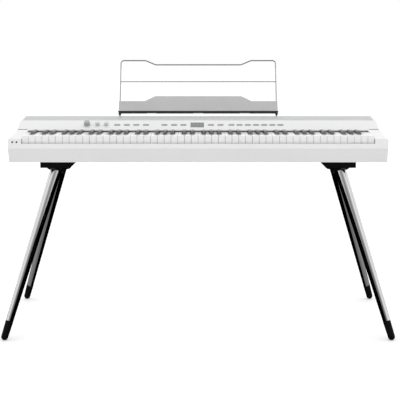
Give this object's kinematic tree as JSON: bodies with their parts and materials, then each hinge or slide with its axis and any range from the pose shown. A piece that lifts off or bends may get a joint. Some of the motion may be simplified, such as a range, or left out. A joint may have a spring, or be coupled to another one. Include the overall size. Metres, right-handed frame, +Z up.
{
  "type": "digital piano on stand",
  "caption": "Slim digital piano with a full-size weighted keyboard, sloped control panel and small display, wire music rest, on four splayed tapered metal legs.",
  "frame": {"origin": "on the floor, midway between the four feet and under the middle of the case", "axes": "+X to the player's right along the keyboard, +Y away from the player, +Z up"},
  "size_m": [1.3844, 0.5778, 0.9411],
  "materials": {
    "case_upper": "fine satin",
    "case_lower": "fine satin",
    "grille": "satin, perforated",
    "steel": "plated",
    "frame_plastic": "moulded",
    "felt": "dense felt",
    "key_white": "satin gloss",
    "key_black": "fine grain",
    "button_grey": "satin",
    "knob_grey": "satin",
    "circuit_board": "lacquered",
    "display_lens": "clear",
    "display_module": "grey display",
    "jack_black": "satin",
    "speaker_black": "paper cone and moulded frame",
    "rest_wire": "polished",
    "rest_sheet": "satin",
    "trim_rubber": "matt",
    "plate_black": "satin black",
    "leg_tube": "polished",
    "tip_black": "satin"
  },
  "bodies": {
    "case": {"case_bottom": "case_lower", "case_screws": "steel", "case_top": "case_upper", "display_lens": "display_lens", "display_module": "display_module", "headphone_jacks": "jack_black", "jack_board": "circuit_board", "key_frame": "frame_plastic", "key_front_felt": "felt", "key_rear_felt": "felt", "leg_front_left": "leg_tube", "leg_front_right": "leg_tube", "leg_plate_left": "plate_black", "leg_plate_right": "plate_black", "leg_rear_left": "leg_tube", "leg_rear_right": "leg_tube", "leg_screws": "steel", "leg_studs": "steel", "leg_tips": "tip_black", "main_board": "circuit_board", "panel_board": "circuit_board", "speaker_grille": "grille", "speaker_left": "speaker_black", "speaker_right": "speaker_black"},
    "key_a": {"key_a": "key_white"},
    "key_a_sharp": {"key_a_sharp": "key_black"},
    "key_b": {"key_b": "key_white"},
    "key_c": {"key_c": "key_white"},
    "key_c_sharp": {"key_c_sharp": "key_black"},
    "key_d": {"key_d": "key_white"},
    "key_d_sharp": {"key_d_sharp": "key_black"},
    "key_e": {"key_e": "key_white"},
    "key_f": {"key_f": "key_white"},
    "key_f_sharp": {"key_f_sharp": "key_black"},
    "key_first": {"key_first": "key_white"},
    "key_g": {"key_g": "key_white"},
    "key_g_sharp": {"key_g_sharp": "key_black"},
    "key_last": {"key_last": "key_white"},
    "button_01": {"button_01": "button_grey"},
    "button_02": {"button_02": "button_grey"},
    "button_03": {"button_03": "button_grey"},
    "button_04": {"button_04": "button_grey"},
    "button_05": {"button_05": "button_grey"},
    "button_06": {"button_06": "button_grey"},
    "button_07": {"button_07": "button_grey"},
    "button_08": {"button_08": "button_grey"},
    "button_09": {"button_09": "button_grey"},
    "button_10": {"button_10": "button_grey"},
    "button_11": {"button_11": "button_grey"},
    "button_12": {"button_12": "button_grey"},
    "button_13": {"button_13": "button_grey"},
    "button_14": {"button_14": "button_grey"},
    "button_15": {"button_15": "button_grey"},
    "button_16": {"button_16": "button_grey"},
    "volume_knob": {"volume_knob": "knob_grey"},
    "tone_knob_1": {"tone_knob_1": "knob_grey"},
    "tone_knob_2": {"tone_knob_2": "knob_grey"},
    "music_rest": {"rest_wire": "rest_wire", "rest_shelf": "rest_sheet", "rest_trim": "trim_rubber"}
  },
  "joints": [
    {"name": "key_a_press", "type": "hinge", "parent": "case", "child": "key_a", "pos_m": [0, 0.075, 0.6695], "axis": [1, 0, 0], "range_deg": [0, 2.6], "stiffness_Nm_per_rad": 4.2, "springref_deg": -17.19},
    {"name": "key_a_sharp_press", "type": "hinge", "parent": "case", "child": "key_a_sharp", "pos_m": [0, 0.075, 0.6695], "axis": [1, 0, 0], "range_deg": [0, 2.6], "stiffness_Nm_per_rad": 4.8, "springref_deg": -17.19},
    {"name": "key_b_press", "type": "hinge", "parent": "case", "child": "key_b", "pos_m": [0, 0.075, 0.6695], "axis": [1, 0, 0], "range_deg": [0, 2.6], "stiffness_Nm_per_rad": 4.8, "springref_deg": -17.19},
    {"name": "key_c_press", "type": "hinge", "parent": "case", "child": "key_c", "pos_m": [0, 0.075, 0.6695], "axis": [1, 0, 0], "range_deg": [0, 2.6], "stiffness_Nm_per_rad": 4.2, "springref_deg": -17.19},
    {"name": "key_c_sharp_press", "type": "hinge", "parent": "case", "child": "key_c_sharp", "pos_m": [0, 0.075, 0.6695], "axis": [1, 0, 0], "range_deg": [0, 2.6], "stiffness_Nm_per_rad": 4.2, "springref_deg": -17.19},
    {"name": "key_d_press", "type": "hinge", "parent": "case", "child": "key_d", "pos_m": [0, 0.075, 0.6695], "axis": [1, 0, 0], "range_deg": [0, 2.6], "stiffness_Nm_per_rad": 4.2, "springref_deg": -17.19},
    {"name": "key_d_sharp_press", "type": "hinge", "parent": "case", "child": "key_d_sharp", "pos_m": [0, 0.075, 0.6695], "axis": [1, 0, 0], "range_deg": [0, 2.6], "stiffness_Nm_per_rad": 4.2, "springref_deg": -17.19},
    {"name": "key_e_press", "type": "hinge", "parent": "case", "child": "key_e", "pos_m": [0, 0.075, 0.6695], "axis": [1, 0, 0], "range_deg": [0, 2.6], "stiffness_Nm_per_rad": 4.2, "springref_deg": -17.19},
    {"name": "key_f_press", "type": "hinge", "parent": "case", "child": "key_f", "pos_m": [0, 0.075, 0.6695], "axis": [1, 0, 0], "range_deg": [0, 2.6], "stiffness_Nm_per_rad": 4.2, "springref_deg": -17.19},
    {"name": "key_f_sharp_press", "type": "hinge", "parent": "case", "child": "key_f_sharp", "pos_m": [0, 0.075, 0.6695], "axis": [1, 0, 0], "range_deg": [0, 2.6], "stiffness_Nm_per_rad": 4.2, "springref_deg": -17.19},
    {"name": "key_first_press", "type": "hinge", "parent": "case", "child": "key_first", "pos_m": [0, 0.075, 0.6695], "axis": [1, 0, 0], "range_deg": [0, 2.6], "stiffness_Nm_per_rad": 0.6, "springref_deg": -17.19},
    {"name": "key_g_press", "type": "hinge", "parent": "case", "child": "key_g", "pos_m": [0, 0.075, 0.6695], "axis": [1, 0, 0], "range_deg": [0, 2.6], "stiffness_Nm_per_rad": 4.2, "springref_deg": -17.19},
    {"name": "key_g_sharp_press", "type": "hinge", "parent": "case", "child": "key_g_sharp", "pos_m": [0, 0.075, 0.6695], "axis": [1, 0, 0], "range_deg": [0, 2.6], "stiffness_Nm_per_rad": 4.2, "springref_deg": -17.19},
    {"name": "key_last_press", "type": "hinge", "parent": "case", "child": "key_last", "pos_m": [0, 0.075, 0.6695], "axis": [1, 0, 0], "range_deg": [0, 2.6], "stiffness_Nm_per_rad": 0.6, "springref_deg": -17.19},
    {"name": "button_01_press", "type": "slide", "parent": "case", "child": "button_01", "axis": [0, 0.4698, -0.8827], "range_m": [0, 0.0012], "stiffness_N_per_m": 400, "springref_m": -0.003},
    {"name": "button_02_press", "type": "slide", "parent": "case", "child": "button_02", "axis": [0, 0.4698, -0.8827], "range_m": [0, 0.0012], "stiffness_N_per_m": 400, "springref_m": -0.003},
    {"name": "button_03_press", "type": "slide", "parent": "case", "child": "button_03", "axis": [0, 0.4698, -0.8827], "range_m": [0, 0.0012], "stiffness_N_per_m": 400, "springref_m": -0.003},
    {"name": "button_04_press", "type": "slide", "parent": "case", "child": "button_04", "axis": [0, 0.4698, -0.8827], "range_m": [0, 0.0012], "stiffness_N_per_m": 400, "springref_m": -0.003},
    {"name": "button_05_press", "type": "slide", "parent": "case", "child": "button_05", "axis": [0, 0.4698, -0.8827], "range_m": [0, 0.0012], "stiffness_N_per_m": 400, "springref_m": -0.003},
    {"name": "button_06_press", "type": "slide", "parent": "case", "child": "button_06", "axis": [0, 0.4698, -0.8827], "range_m": [0, 0.0012], "stiffness_N_per_m": 400, "springref_m": -0.003},
    {"name": "button_07_press", "type": "slide", "parent": "case", "child": "button_07", "axis": [0, 0.4698, -0.8827], "range_m": [0, 0.0012], "stiffness_N_per_m": 400, "springref_m": -0.003},
    {"name": "button_08_press", "type": "slide", "parent": "case", "child": "button_08", "axis": [0, 0.4698, -0.8827], "range_m": [0, 0.0012], "stiffness_N_per_m": 400, "springref_m": -0.003},
    {"name": "button_09_press", "type": "slide", "parent": "case", "child": "button_09", "axis": [0, 0.4698, -0.8827], "range_m": [0, 0.0012], "stiffness_N_per_m": 400, "springref_m": -0.003},
    {"name": "button_10_press", "type": "slide", "parent": "case", "child": "button_10", "axis": [0, 0.4698, -0.8827], "range_m": [0, 0.0012], "stiffness_N_per_m": 400, "springref_m": -0.003},
    {"name": "button_11_press", "type": "slide", "parent": "case", "child": "button_11", "axis": [0, 0.4698, -0.8827], "range_m": [0, 0.0012], "stiffness_N_per_m": 400, "springref_m": -0.003},
    {"name": "button_12_press", "type": "slide", "parent": "case", "child": "button_12", "axis": [0, 0.4698, -0.8827], "range_m": [0, 0.0012], "stiffness_N_per_m": 400, "springref_m": -0.003},
    {"name": "button_13_press", "type": "slide", "parent": "case", "child": "button_13", "axis": [0, 0.4698, -0.8827], "range_m": [0, 0.0012], "stiffness_N_per_m": 400, "springref_m": -0.003},
    {"name": "button_14_press", "type": "slide", "parent": "case", "child": "button_14", "axis": [0, 0.4698, -0.8827], "range_m": [0, 0.0012], "stiffness_N_per_m": 400, "springref_m": -0.003},
    {"name": "button_15_press", "type": "slide", "parent": "case", "child": "button_15", "axis": [0, 0.4698, -0.8827], "range_m": [0, 0.0012], "stiffness_N_per_m": 400, "springref_m": -0.003},
    {"name": "button_16_press", "type": "slide", "parent": "case", "child": "button_16", "axis": [0, 0.4698, -0.8827], "range_m": [0, 0.0012], "stiffness_N_per_m": 400, "springref_m": -0.003},
    {"name": "volume_knob_turn", "type": "hinge", "parent": "case", "child": "volume_knob", "pos_m": [-0.403, 0.0357, 0.7118], "axis": [0, -0.4698, 0.8827], "range_deg": [-150, 150]},
    {"name": "tone_knob_1_turn", "type": "hinge", "parent": "case", "child": "tone_knob_1", "pos_m": [-0.365, 0.0357, 0.7118], "axis": [0, -0.4698, 0.8827], "range_deg": [-150, 150]},
    {"name": "tone_knob_2_turn", "type": "hinge", "parent": "case", "child": "tone_knob_2", "pos_m": [-0.333, 0.0357, 0.7118], "axis": [0, -0.4698, 0.8827], "range_deg": [-150, 150]},
    {"name": "music_rest_lift", "type": "slide", "parent": "case", "child": "music_rest", "axis": [0, 0, 1], "range_m": [0, 0.12]}
  ]
}
